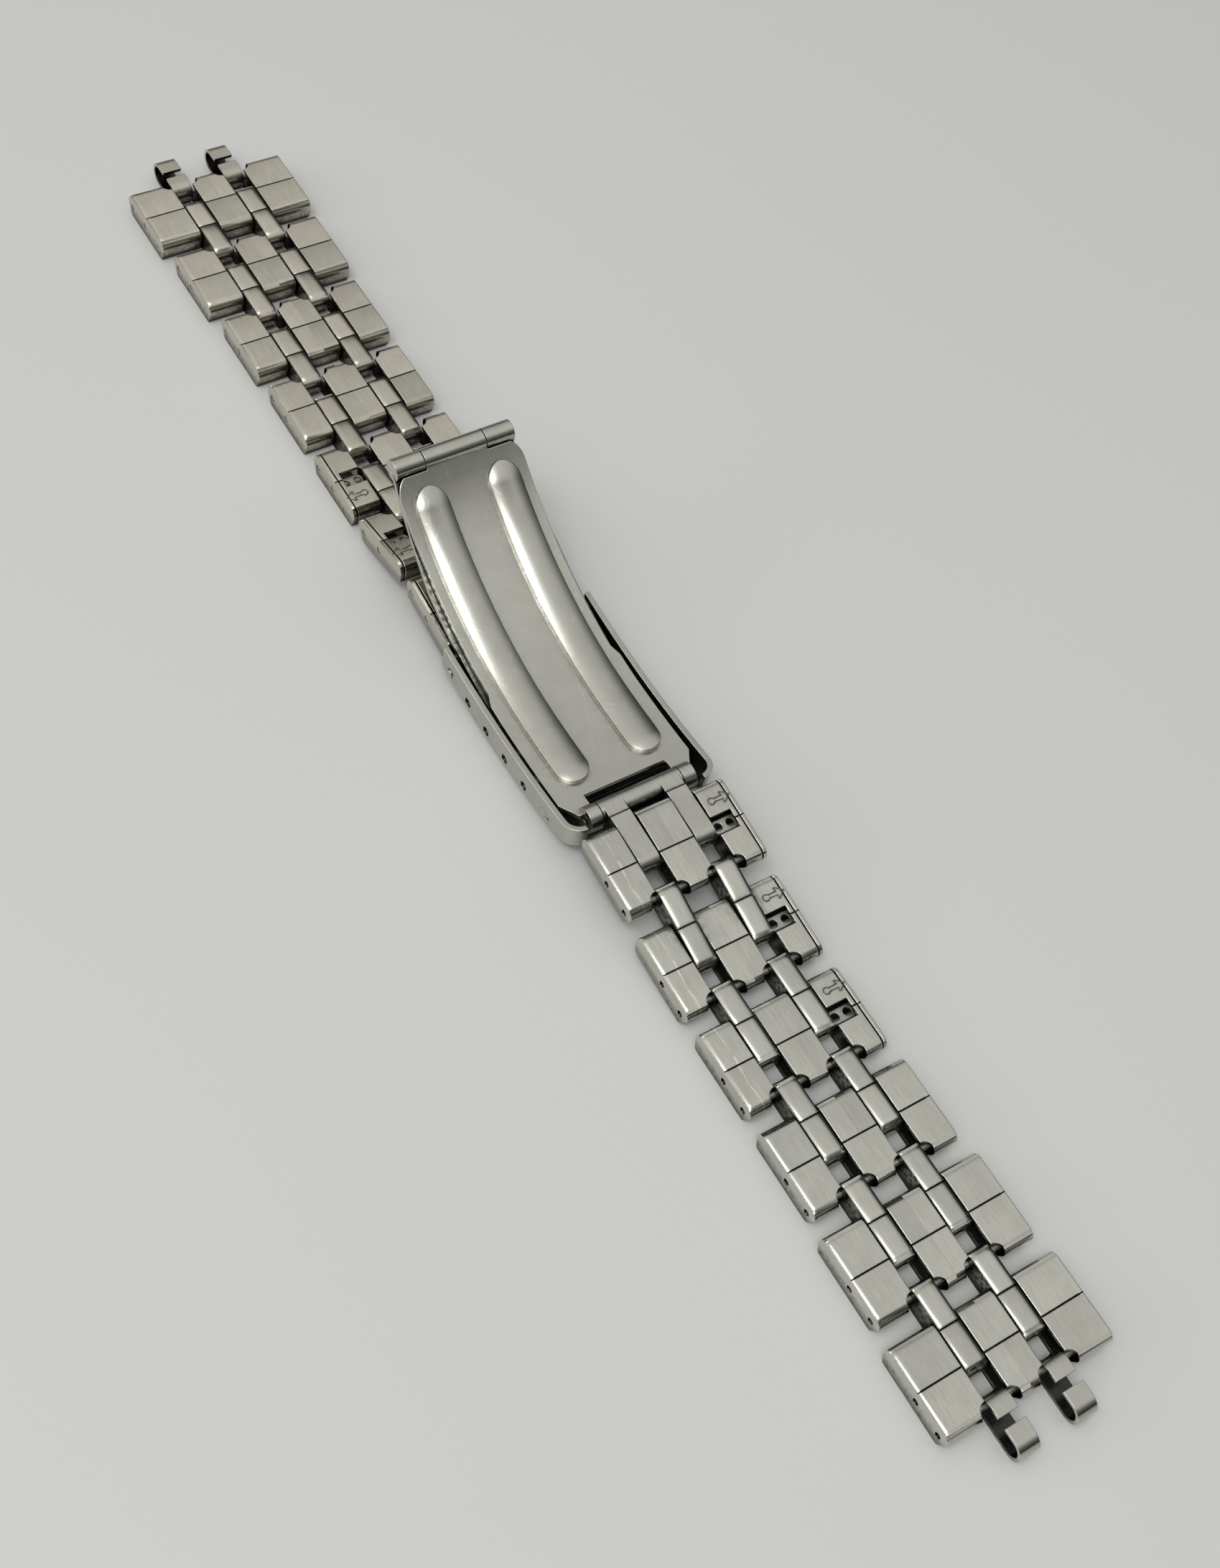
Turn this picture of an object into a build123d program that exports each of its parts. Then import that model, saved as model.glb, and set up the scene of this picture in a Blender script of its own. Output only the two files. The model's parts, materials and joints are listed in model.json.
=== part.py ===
"""Folded link watch bracelet with a folding clasp, laid out straight with the clasp closed.

Millimetres, +Z up (the wrist side), +X along the bracelet from the upper end to the lower end.
Z is zero on the table, and the origin is at the middle of the laid-out bracelet.
"""

import os
from math import asin, cos, degrees, hypot, radians, sin, sqrt

from build123d import *

# The folded sheet and the links

link_pitch = 10.0
link_thickness = 2.5
link_sheet = 0.35
seam_gap = 0.12
wire_radius = 0.3
wire_play = 0.05
wall_hole_play = 0.03
column_play = 0.15
seam_offset = 0.3

# Side view of a wide link: its flaps' reach from the seam, and the shorter sheet on the outer face

watch_reach = 4.85
watch_undercut = 1.2
watch_corner = 0.9
clasp_reach = 4.35
clasp_undercut = 0.6
clasp_corner = 0.85
bottom_corner = 0.4

# Side view of a narrow link

narrow_reach = 4.2
narrow_corner = 1.0
narrow_undercut = 0.95
narrow_bottom_corner = 0.25
narrow_seam_depth = 0.6
centre_width = 3.6
narrow_width = 2.05
row_widths = [17.1, 16.0, 14.9, 14.4, 14.4, 14.4, 14.4]
notch_radius = 0.85
notch_reach = 3.95

upper_rows = 7
lower_rows = 6
removable_rows = 3

# The window and the loose side wall of a removable link, and its clip's plate

window_half_length = 0.92
window_width = 2.15
wall_slit = 0.15
clip_plate_sheet = 0.3
clip_plate_sink = 0.06
clip_plate_width = 2.5
clip_plate_length = 1.3
clip_plate_middle = 0.32
clip_hole_radius = 0.42
clip_hole_insets = [0.5, 1.8]

# The hooks at the watch ends

hook_length = 5.5
hook_near_flap = 0.9
hook_mouth = 0.9

# The end pieces and their spring bars

lower_end_reach = 6.35
upper_end_reach = 6.0
tube_radius = 1.15
tube_bore_radius = 0.85
bar_body_radius = 0.8
bar_tip_radius = 0.45
bar_tip_dome = 0.15
bar_end_play = 0.15
upper_tube_half = 6.9
tongue_web = 0.5

# The clasp cover

cover_half = 7.9
cover_wall = 0.5
cover_floor = 0.35
cover_floor_radius = 57.0
cover_left = 9.1
cover_right = 13.9
cover_height = 3.6
cover_rim_radius = 80.0
cover_floor_cut = 0.8
cover_edge_radius = 1.1
cover_corner_radius = 1.8
cover_lip = 0.4
cover_end_corner = 1.7
adjusting_holes = 5
hole_pitch = 3.4
hole_radius = 0.5
hinge_place = 9.4
hinge_height = 2.36
dimple_offset = 0.85
dimple_radius = 0.2
dimple_depth = 0.2

# The inner plate

plate_sheet = 0.5
plate_low_place = 2.0
plate_low_height = 3.45
plate_arch_radius = 36.0
plate_tail_radius = 76.0
plate_half_fold = 6.6
plate_half_tail = 7.0
plate_kink = -1.8
plate_kink_run = 1.2
plate_corner_cut = 1.4
plate_slot_start = 10.2
plate_corner_radius = 1.6
plate_slot_half = 4.35
rib_offset = 3.85
rib_width = 3.3
rib_rise = 0.4
rib_left = -21.0
rib_right = 8.8
lower_bar_place = 12.56
lower_bar_height = 4.05

# The middle blade and its two hinges

blade_sheet = 0.5
blade_gap = 0.2
blade_half = 7.0
blade_half_fold = 6.25
blade_taper_start = -14.0
fold_place = -23.45
fold_height = 12.9
knuckle_radius = 1.05
knuckle_split = 3.3
knuckle_play = 0.1
knuckle_clearance = 0.15
hinge_roll_radius = 0.85
hinge_pin_radius = 0.45
fold_pin_radius = 0.45
pin_play = 0.05

# How the laid-out bracelet rises to the clasp: tilts in degrees, from the clasp outwards

upper_end_tilt = 8.0
upper_row_tilts = [8.0, -13.0]
upper_narrow_tilts = [-8.0]
lower_end_tilt = -3.0
lower_row_tilts = [-6.0, -5.0]
lower_narrow_tilts = [-14.0]
pushed_narrows = 2
push_together = 0.5

overrun = 1.0
half_share = 0.5

# Sizes that follow

half_thickness = link_thickness / 2
tip_to_wire = link_sheet + wire_play + wire_radius
narrow_length = 2 * narrow_reach
narrow_span = narrow_length - 2 * tip_to_wire
wire_spacing = link_pitch - narrow_span
wide_length = watch_reach + clasp_reach
narrow_inner = centre_width / 2 + column_play
narrow_outer = narrow_inner + narrow_width
outer_inner = narrow_outer + column_play
narrow_middle = (narrow_inner + narrow_outer) / 2
bend_radius = half_thickness
inner_height = link_thickness - 2 * link_sheet
cover_inner_half = cover_half - cover_wall


def arc_rise(x, radius):
    """How far an arc has risen at a distance from its lowest point."""
    return radius - sqrt(radius**2 - x**2)


hole_middle_height = hinge_height - arc_rise(hinge_place, cover_floor_radius)
upper_bar_place = hinge_place - adjusting_holes * hole_pitch
upper_bar_height = hole_middle_height + arc_rise(upper_bar_place, cover_floor_radius)


# The laid-out chain: where each piece's own origin lies and how it is tilted


def lay_out(start, height, way, end_reach, end_tilt, row_tilts, narrow_tilts, rows, pushed):
    """Places of the end piece, rows, narrows and hooks of one half, from the clasp outwards.

    The narrow link after the tilted ones comes down to the table, where the rest lies flat.
    """
    x, z = start, height
    end_place = (x, z, end_tilt)
    x, z = x + way * end_reach * cos(radians(end_tilt)), z + end_reach * sin(radians(end_tilt))
    row_places, narrow_places = [], []
    for number in range(rows):
        tilt = row_tilts[number] if number < len(row_tilts) else 0
        row_places.append((x, z, tilt))
        x += way * wire_spacing * cos(radians(tilt))
        z += wire_spacing * sin(radians(tilt))
        if number == rows - 1:
            break
        span = narrow_span - (push_together if number < pushed else 0)
        if number < len(narrow_tilts):
            tilt = narrow_tilts[number]
        else:
            tilt = degrees(asin((half_thickness - z) / span))
        run, rise = cos(radians(tilt)), sin(radians(tilt))
        narrow_places.append((x + way * span / 2 * run, z + span / 2 * rise, tilt))
        x, z = x + way * span * run, z + span * rise
    return end_place, row_places, narrow_places, (x, z, 0)


upper_end_place, upper_row_places, upper_narrow_places, upper_hook_place = lay_out(
    upper_bar_place, upper_bar_height, -1, upper_end_reach, upper_end_tilt, upper_row_tilts,
    upper_narrow_tilts, upper_rows, pushed_narrows)
lower_end_place, lower_row_places, lower_narrow_places, lower_hook_place = lay_out(
    lower_bar_place, lower_bar_height, 1, lower_end_reach, lower_end_tilt, lower_row_tilts,
    lower_narrow_tilts, lower_rows, 0)
frame_shift = -(upper_hook_place[0] + lower_hook_place[0]) / 2


def upper_at(place):
    """Location of an upper piece: its own +X points to the clasp."""
    x, z, tilt = place
    return Location((x + frame_shift, 0, z), (0, tilt, 0))


def lower_at(place):
    """Location of a lower piece: turned round, so that its own +X points to the clasp."""
    x, z, tilt = place
    return Location((x + frame_shift, 0, z), (0, -tilt, 0)) * Location((0, 0, 0), (0, 0, 180))


def save(piece, name):
    """Label a finished piece and write its file."""
    piece.part.label = name
    export_step(piece.part, f"parts/{name}.step")


# Folded links: a flat loop of sheet whose two flaps meet in a cross seam on the wrist side.
# In side view the wrist side is the longer one, and both ends run in towards the outer face.


def wide_side():
    """Side view of a wide link, with its seam at zero."""
    with BuildSketch() as side:
        Polygon((-watch_reach, half_thickness), (clasp_reach, half_thickness),
                (clasp_reach - clasp_undercut, -half_thickness),
                (watch_undercut - watch_reach, -half_thickness), align=None)
        fillet(side.vertices().group_by(Axis.Y)[0], bottom_corner)
        fillet(side.vertices().group_by(Axis.Y)[-1].sort_by(Axis.X)[0], watch_corner)
        fillet(side.vertices().group_by(Axis.Y)[-1].sort_by(Axis.X)[-1], clasp_corner)
    return side.sketch


def narrow_side():
    """Side view of a narrow link, with its seam at zero."""
    with BuildSketch() as side:
        Rectangle(narrow_length, link_thickness)
        corners = side.vertices().group_by(Axis.Y)
        chamfer(corners[0], narrow_undercut)
        fillet(side.vertices().group_by(Axis.Y)[-1], narrow_corner)
        fillet(side.vertices().group_by(Axis.Y)[0], narrow_bottom_corner)
    return side.sketch


def folded_link(side_view, from_y, to_y, seam_x):
    """A loop of sheet as wide as from_y to to_y, with its seam at seam_x."""
    with BuildPart() as link:
        with BuildSketch(Plane.XZ.offset(-to_y)):
            with Locations((seam_x, 0)):
                add(side_view)
                offset(side_view, amount=-link_sheet, mode=Mode.SUBTRACT)
            with Locations((seam_x, half_thickness)):
                Rectangle(seam_gap, 3 * link_sheet, mode=Mode.SUBTRACT)
        extrude(amount=to_y - from_y)
    return link.part


def side_plate(side_view, middle_y, seam_x):
    """A closed side of a link, one sheet thick."""
    with BuildPart() as plate:
        with BuildSketch(Plane.XZ.offset(-middle_y)):
            with Locations((seam_x, 0)):
                add(side_view)
        extrude(amount=link_sheet / 2, both=True)
    return plate.part


def notch(corner_y):
    """A bite out of a link's watch-side corner, open to the side and round at its end."""
    run = watch_reach - notch_reach + overrun
    with BuildPart() as bite:
        with BuildSketch(Plane.XY.offset(link_sheet - half_thickness)):
            with Locations((seam_offset - notch_reach, corner_y)):
                Circle(notch_radius)
            with Locations((seam_offset - notch_reach - run / 2, corner_y)):
                Rectangle(run, 2 * notch_radius)
        extrude(amount=link_thickness)
    return bite.part


def wire_holes(middle_y, places, play):
    """Holes for the clips' legs through a side plate."""
    with BuildPart() as holes:
        with BuildSketch(Plane.XZ.offset(-middle_y)):
            with Locations(*((place, 0) for place in places)):
                Circle(wire_radius + play)
        extrude(amount=link_sheet, both=True)
    return holes.part


def outer_link(half_width, side, removable):
    """One outer link, its side wall included; side is -1 on the left and 1 on the right."""
    near, far = sorted((side * outer_inner, side * half_width))
    wall = side * (half_width - link_sheet / 2)
    with BuildPart() as link:
        add(folded_link(wide_side(), near, far, seam_offset))
        add(side_plate(wide_side(), wall, seam_offset))
        add(notch(side * outer_inner), mode=Mode.SUBTRACT)
        add(wire_holes(wall, (0, -wire_spacing), wall_hole_play), mode=Mode.SUBTRACT)
        if removable:
            slit_y = side * (half_width - link_sheet - wall_slit / 2)
            with Locations((seam_offset, slit_y, link_sheet / 2)):
                Box(wide_length + overrun, wall_slit, link_thickness - link_sheet, mode=Mode.SUBTRACT)
            window_y = side * (outer_inner + window_width / 2)
            with Locations((seam_offset, window_y, half_thickness)):
                Box(2 * window_half_length, window_width, 3 * link_sheet, mode=Mode.SUBTRACT)
    return link.part


def centre_link():
    """The centre link of a row, with a bite at both watch-side corners."""
    with BuildPart() as link:
        add(folded_link(wide_side(), -centre_width / 2, centre_width / 2, seam_offset))
        add(notch(-centre_width / 2), mode=Mode.SUBTRACT)
        add(notch(centre_width / 2), mode=Mode.SUBTRACT)
    return link.part


def narrow_link(side, half_span):
    """A narrow link with closed sides; the wires pass at half_span from its middle."""
    near, far = sorted((side * narrow_inner, side * narrow_outer))
    with BuildPart() as link:
        add(folded_link(narrow_side(), near, far, 0))
        for plate_y in (near + link_sheet / 2, far - link_sheet / 2):
            add(side_plate(narrow_side(), plate_y, 0))
            add(wire_holes(plate_y, (half_span, -half_span), wire_play), mode=Mode.SUBTRACT)
        with Locations((0, side * narrow_middle, half_thickness)):
            Box(seam_gap, narrow_width, 2 * narrow_seam_depth, mode=Mode.SUBTRACT)
    return link.part


def clip(half_width, removable):
    """The two-legged clip that strings a row together, with its bridge inside the right wall."""
    bridge_y = half_width - link_sheet - wire_play - wire_radius
    with BuildPart() as staple:
        for leg_x in (0, -wire_spacing):
            with BuildSketch(Plane.XZ.offset(half_width - wire_play)):
                with Locations((leg_x, 0)):
                    Circle(wire_radius)
            extrude(amount=-(half_width - wire_play + bridge_y))
        with BuildSketch(Plane.YZ):
            with Locations((bridge_y, 0)):
                Circle(wire_radius)
        extrude(amount=-wire_spacing)
        for leg_x in (0, -wire_spacing):
            with Locations((leg_x, bridge_y, 0)):
                Sphere(wire_radius)
        if removable:
            with BuildSketch(Plane.XY.offset(wire_radius - clip_plate_sink)):
                with Locations((clip_plate_middle, -(outer_inner + clip_plate_width / 2))):
                    RectangleRounded(clip_plate_length, clip_plate_width, clip_hole_radius)
                for inset in clip_hole_insets:
                    with Locations((clip_plate_middle, -(outer_inner + inset))):
                        Circle(clip_hole_radius, mode=Mode.SUBTRACT)
            extrude(amount=clip_plate_sheet)
    return staple.part


def hook():
    """One hook: a loop on the row's last wire, and an open curl for the watch's spring bar."""
    near_x = tip_to_wire - bend_radius
    far_x = tip_to_wire - hook_length + bend_radius
    inner = bend_radius - link_sheet
    middle = bend_radius - link_sheet / 2
    with BuildPart() as piece:
        with BuildSketch(Plane.XZ) as side:
            with Locations((near_x, 0)):
                Circle(bend_radius)
            with Locations((far_x, 0)):
                Circle(bend_radius)
            with Locations(((near_x + far_x) / 2, 0)):
                Rectangle(near_x - far_x, link_thickness)
            with Locations(((near_x + far_x) / 2, 0)):
                Rectangle(near_x - far_x, inner_height, mode=Mode.SUBTRACT)
            with Locations((near_x, 0), (far_x, 0)):
                Circle(inner, mode=Mode.SUBTRACT)
            mouth_x = near_x - hook_near_flap - hook_mouth / 2
            with Locations((mouth_x, middle)):
                Rectangle(hook_mouth, 2 * link_sheet, mode=Mode.SUBTRACT)
        extrude(amount=narrow_width / 2, both=True)
    return piece.part


def end_piece(tube_half, end_reach):
    """A rolled tube on the spring bar, and two folded tongues to the first row's wire."""
    bend_x = bend_radius - tip_to_wire - end_reach
    with BuildPart() as piece:
        for side in (-1, 1):
            with BuildSketch(Plane.XZ.offset(side * narrow_middle)):
                with Locations((bend_x, 0)):
                    Circle(bend_radius)
                with Locations((bend_x / 2, 0)):
                    Rectangle(-bend_x, 2 * tube_radius)
                with Locations((bend_x / 2 - tube_radius / 2, 0)):
                    Rectangle(-bend_x - tube_radius, link_thickness)
            extrude(amount=narrow_width / 2, both=True)
            cavity_left = bend_x - bend_radius + link_sheet
            cavity_right = -tube_radius - tongue_web
            cavity_length = cavity_right - cavity_left
            with BuildSketch(Plane.XZ.offset(side * narrow_middle)):
                with Locations(((cavity_left + cavity_right) / 2, 0)):
                    SlotOverall(cavity_length, inner_height)
            extrude(amount=narrow_width, both=True, mode=Mode.SUBTRACT)
        with BuildSketch(Plane.XZ):
            Circle(tube_radius)
        extrude(amount=tube_half, both=True)
        with BuildSketch(Plane.XZ):
            Circle(tube_bore_radius)
        extrude(amount=tube_half + overrun, both=True, mode=Mode.SUBTRACT)
    return piece.part


def spring_bar(body_half, tip_half):
    """A spring bar: a plain body and two thin tips with domed ends."""
    with BuildPart() as bar:
        with BuildSketch(Plane.XZ):
            Circle(bar_body_radius)
        extrude(amount=body_half, both=True)
        with BuildSketch(Plane.XZ):
            Circle(bar_tip_radius)
        extrude(amount=tip_half, both=True)
        ends = bar.edges().filter_by(GeomType.CIRCLE).group_by(Axis.Y)
        fillet(ends[0] + ends[-1], bar_tip_dome)
    return bar.part


# The rows of both halves, numbered from the watch end


def make_half(half, rows, row_places, narrow_places, pushed, hook_place, at):
    """Rows, narrow links and hooks of one half."""
    for index, place in enumerate(row_places):
        number = rows - index
        half_width = row_widths[number - 1] / 2
        removable = index < removable_rows
        with BuildPart() as outers:
            add(outer_link(half_width, -1, removable).moved(at(place)))
            add(outer_link(half_width, 1, False).moved(at(place)))
        save(outers, f"{half}_outers_{number}")
        with BuildPart() as centre:
            add(centre_link().moved(at(place)))
        save(centre, f"{half}_centre_{number}")
        with BuildPart() as row_clip:
            add(clip(half_width, removable).moved(at(place)))
        save(row_clip, f"{half}_clip_{number}")
    for index, place in enumerate(narrow_places):
        number = rows - index
        span = narrow_span - (push_together if index < pushed else 0)
        with BuildPart() as narrows:
            for side in (-1, 1):
                add(narrow_link(side, span / 2).moved(at(place)))
        save(narrows, f"{half}_narrows_{number - 1}_{number}")
    with BuildPart() as hooks:
        for side in (-1, 1):
            add(hook().moved(at(hook_place) * Location((0, side * narrow_middle, 0))))
    save(hooks, f"{half}_hooks")


os.makedirs("parts", exist_ok=True)
make_half("upper", upper_rows, upper_row_places, upper_narrow_places, pushed_narrows,
          upper_hook_place, upper_at)
make_half("lower", lower_rows, lower_row_places, lower_narrow_places, 0,
          lower_hook_place, lower_at)

# The end pieces and spring bars

lower_tube_half = plate_slot_half - knuckle_play
with BuildPart() as upper_end_piece:
    add(end_piece(upper_tube_half, upper_end_reach).moved(upper_at(upper_end_place)))
save(upper_end_piece, "upper_end_piece")

with BuildPart() as lower_end_piece:
    add(end_piece(lower_tube_half, lower_end_reach).moved(lower_at(lower_end_place)))
save(lower_end_piece, "lower_end_piece")

with BuildPart() as upper_spring_bar:
    bar = spring_bar(cover_inner_half - bar_end_play, cover_half + bar_tip_dome)
    add(bar.moved(upper_at(upper_end_place)))
save(upper_spring_bar, "upper_spring_bar")

with BuildPart() as lower_spring_bar:
    bar = spring_bar(lower_tube_half, plate_half_tail - plate_corner_cut)
    add(bar.moved(lower_at(lower_end_place)))
save(lower_spring_bar, "lower_spring_bar")


# The clasp cover: a shallow curved tray, open above and towards the upper half


def arch_through(point, left, right):
    """The arc of a curve between two places along it."""
    ThreePointArc(point(left), point((left + right) / 2), point(right))


def cover_block(half, left, right, floor_rise, top_rise, edge, corner):
    """The cover's outer block, or with less all round its hollow."""
    def low(x):
        return x, floor_rise + arc_rise(x, cover_floor_radius - floor_rise)

    def high(x):
        return x, cover_height + top_rise + arc_rise(x, cover_rim_radius - top_rise)

    with BuildPart() as block:
        with BuildSketch(Plane.XZ):
            with BuildLine():
                arch_through(low, -left, right)
                Line(low(right), high(right))
                arch_through(high, right, -left)
                Line(high(-left), low(-left))
            make_face()
        extrude(amount=half, both=True)
        fillet(block.edges().filter_by(Axis.Z).group_by(Axis.X)[-1], corner)
        underside = block.faces().filter_by(GeomType.CYLINDER).sort_by(Axis.Z)[0]
        fillet(underside.edges().filter_by(
            lambda edge_: abs(edge_.center().Y) > half / 2 and edge_.length > right), edge)
    return block.part


with BuildPart() as clasp_cover:
    add(cover_block(cover_half, cover_left, cover_right, 0, 0,
                    cover_edge_radius, cover_corner_radius))
    add(cover_block(cover_inner_half, cover_left + overrun, cover_right - cover_wall,
                    cover_floor, overrun, cover_edge_radius - cover_wall,
                    cover_corner_radius - cover_wall), mode=Mode.SUBTRACT)
    lip_top = arc_rise(cover_right, cover_floor_radius) + cover_floor + cover_lip
    with Locations((cover_right, 0, lip_top)):
        Box(cover_corner_radius * 2, 2 * (cover_half - cover_end_corner), cover_height,
            align=(Align.CENTER, Align.CENTER, Align.MIN), mode=Mode.SUBTRACT)
    with Locations((-cover_left, 0, 0)):
        Box(2 * cover_floor_cut, 2 * cover_inner_half, cover_height,
            align=(Align.CENTER, Align.CENTER, Align.MIN), mode=Mode.SUBTRACT)
    with BuildSketch(Plane.XZ):
        for number in range(adjusting_holes + 1):
            hole_x = hinge_place - number * hole_pitch
            with Locations((hole_x, hole_middle_height + arc_rise(hole_x, cover_floor_radius))):
                Circle(hole_radius)
    extrude(amount=cover_half + overrun, both=True, mode=Mode.SUBTRACT)
    dimple_x = hinge_place + dimple_offset
    for side in (-1, 1):
        with BuildSketch(Plane.XZ.offset(side * cover_half)):
            with Locations((dimple_x, hinge_height)):
                Circle(dimple_radius)
        extrude(amount=dimple_depth, both=True, mode=Mode.SUBTRACT)
clasp_cover.part = clasp_cover.part.moved(Location((frame_shift, 0, 0)))
save(clasp_cover, "clasp_cover")


# Curved sheets of the clasp, all drawn round the same arch


def arch_point(drop):
    """A function from a place along the clasp to the point at a drop below the plate's top."""
    def point(x):
        radius = plate_arch_radius if x < plate_low_place else plate_tail_radius
        rise = arc_rise(x - plate_low_place, radius + drop)
        return x, plate_low_height - drop + rise
    return point


def curved_sheet(top_drop, thickness, left, right, half):
    """A sheet bent along the arch, as wide as half to both sides."""
    top, bottom = arch_point(top_drop), arch_point(top_drop + thickness)
    with BuildPart() as sheet:
        with BuildSketch(Plane.XZ):
            with BuildLine():
                arch_through(top, left, plate_low_place)
                arch_through(top, plate_low_place, right)
                Line(top(right), bottom(right))
                arch_through(bottom, right, plate_low_place)
                arch_through(bottom, plate_low_place, left)
                Line(bottom(left), top(left))
            make_face()
        extrude(amount=half, both=True)
    return sheet.part


def shifted(part):
    """A clasp piece moved from the cover's own frame to the bracelet's."""
    return part.moved(Location((frame_shift, 0, 0)))


# The inner plate: arched sheet with two ribs, a slot, two arms round the lower spring bar
# and a curl at the fold

fold_centre = (fold_place, fold_height)
curl_half = knuckle_split - knuckle_play
lower_bar_centre = (lower_bar_place, lower_bar_height)
with BuildPart() as inner_plate:
    add(curved_sheet(0, plate_sheet, fold_place, lower_bar_place, plate_half_tail))
    with BuildSketch(Plane.XY):
        with BuildLine():
            corner_x = fold_place + knuckle_radius + plate_corner_radius
            corner_y = plate_half_fold - plate_corner_radius
            ThreePointArc((corner_x - plate_corner_radius, corner_y),
                          (corner_x - plate_corner_radius * sqrt(half_share),
                           corner_y + plate_corner_radius * sqrt(half_share)),
                          (corner_x, plate_half_fold))
            Polyline(
                (corner_x, plate_half_fold), (plate_kink - plate_kink_run, plate_half_fold),
                (plate_kink, plate_half_tail), (plate_slot_start, plate_half_tail),
                (lower_bar_place, plate_half_tail - plate_corner_cut),
                (lower_bar_place + overrun, plate_half_tail - plate_corner_cut),
                (lower_bar_place + overrun, 0), (fold_place - overrun, 0),
                (fold_place - overrun, corner_y), (corner_x - plate_corner_radius, corner_y))
        make_face()
        mirror(about=Plane.XZ)
    extrude(amount=link_pitch * 2, mode=Mode.INTERSECT)
    for side in (-1, 1):
        with BuildSketch(Plane.XY, mode=Mode.PRIVATE) as rib_plan:
            with Locations(((rib_left + rib_right) / 2, side * rib_offset)):
                SlotOverall(rib_right - rib_left, rib_width)
        rib_column = extrude(rib_plan.sketch, amount=2 * link_pitch, mode=Mode.PRIVATE)
        rib_body = curved_sheet(-rib_rise, rib_rise + plate_sheet / 2, rib_left - overrun,
                                rib_right + overrun, plate_half_tail)
        add(rib_column & rib_body)
    with BuildSketch(Plane.XZ):
        with Locations(lower_bar_centre):
            Circle(tube_radius)
    extrude(amount=plate_half_tail - plate_corner_cut, both=True)
    with Locations((plate_slot_start, 0, 0)):
        Box(link_pitch, 2 * plate_slot_half, link_pitch,
            align=(Align.MIN, Align.CENTER, Align.MIN), mode=Mode.SUBTRACT)
    with BuildSketch(Plane.XZ):
        with Locations(lower_bar_centre):
            Circle(bar_tip_radius + wire_play)
    extrude(amount=plate_half_tail + overrun, both=True, mode=Mode.SUBTRACT)
    for side in (-1, 1):
        with BuildSketch(Plane.XZ.offset(side * (curl_half + plate_half_tail / 2))):
            with Locations(fold_centre):
                Circle(knuckle_radius + knuckle_clearance)
        extrude(amount=plate_half_tail / 2, both=True, mode=Mode.SUBTRACT)
    with BuildSketch(Plane.XZ):
        with Locations(fold_centre):
            Circle(knuckle_radius)
    extrude(amount=curl_half, both=True)
    with BuildSketch(Plane.XZ):
        with Locations(fold_centre):
            Circle(fold_pin_radius + pin_play)
    extrude(amount=plate_half_tail, both=True, mode=Mode.SUBTRACT)
inner_plate.part = shifted(inner_plate.part)
save(inner_plate, "inner_plate")

# The middle blade: the same arch under the plate, rolled round the cover's hinge pin and
# with a knuckle at both sides of the plate's curl

blade_drop = plate_sheet + blade_gap
knuckle_half = blade_half_fold - knuckle_split
knuckle_middle = (blade_half_fold + knuckle_split) / 2
hinge_centre = (hinge_place, hinge_height)
with BuildPart() as middle_blade:
    add(curved_sheet(blade_drop, blade_sheet, fold_place, hinge_place, blade_half))
    with BuildSketch(Plane.XY):
        with BuildLine():
            Polyline(
                (fold_place - overrun, blade_half_fold), (fold_place, blade_half_fold),
                (blade_taper_start, blade_half), (hinge_place + overrun, blade_half),
                (hinge_place + overrun, 0), (fold_place - overrun, 0), close=True)
        make_face()
        mirror(about=Plane.XZ)
    extrude(amount=link_pitch * 2, mode=Mode.INTERSECT)
    with BuildSketch(Plane.XZ):
        with Locations(hinge_centre):
            Circle(hinge_roll_radius)
    extrude(amount=blade_half, both=True)
    with BuildSketch(Plane.XZ):
        with Locations(fold_centre):
            Circle(knuckle_radius + knuckle_clearance)
    extrude(amount=knuckle_split, both=True, mode=Mode.SUBTRACT)
    for side in (-1, 1):
        with BuildSketch(Plane.XZ.offset(side * knuckle_middle)):
            with Locations(fold_centre):
                Circle(knuckle_radius)
        extrude(amount=knuckle_half / 2, both=True)
    with BuildSketch(Plane.XZ):
        with Locations(fold_centre):
            Circle(fold_pin_radius)
        with Locations(hinge_centre):
            Circle(hinge_pin_radius)
    extrude(amount=blade_half + overrun, both=True, mode=Mode.SUBTRACT)
middle_blade.part = shifted(middle_blade.part)
save(middle_blade, "middle_blade")

with BuildPart() as blade_pins:
    with BuildSketch(Plane.XZ):
        with Locations(hinge_centre):
            Circle(hinge_pin_radius)
    extrude(amount=cover_half, both=True)
    with BuildSketch(Plane.XZ):
        with Locations(fold_centre):
            Circle(fold_pin_radius)
    extrude(amount=blade_half_fold, both=True)
blade_pins.part = shifted(blade_pins.part)
save(blade_pins, "blade_pins")
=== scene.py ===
# %% [markdown]
# # A link watch bracelet in Blender
#
# The real bracelet is folded from thin stainless sheet. Its flat loops are strung on wires, and in
# the middle lies a folding clasp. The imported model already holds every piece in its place, so this
# lesson gives them their looks: soft edges, brushed flaps, stamped marks, a pale table and light.

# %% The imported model
import json
import math

import bpy
from mathutils import Matrix, Vector

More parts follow.
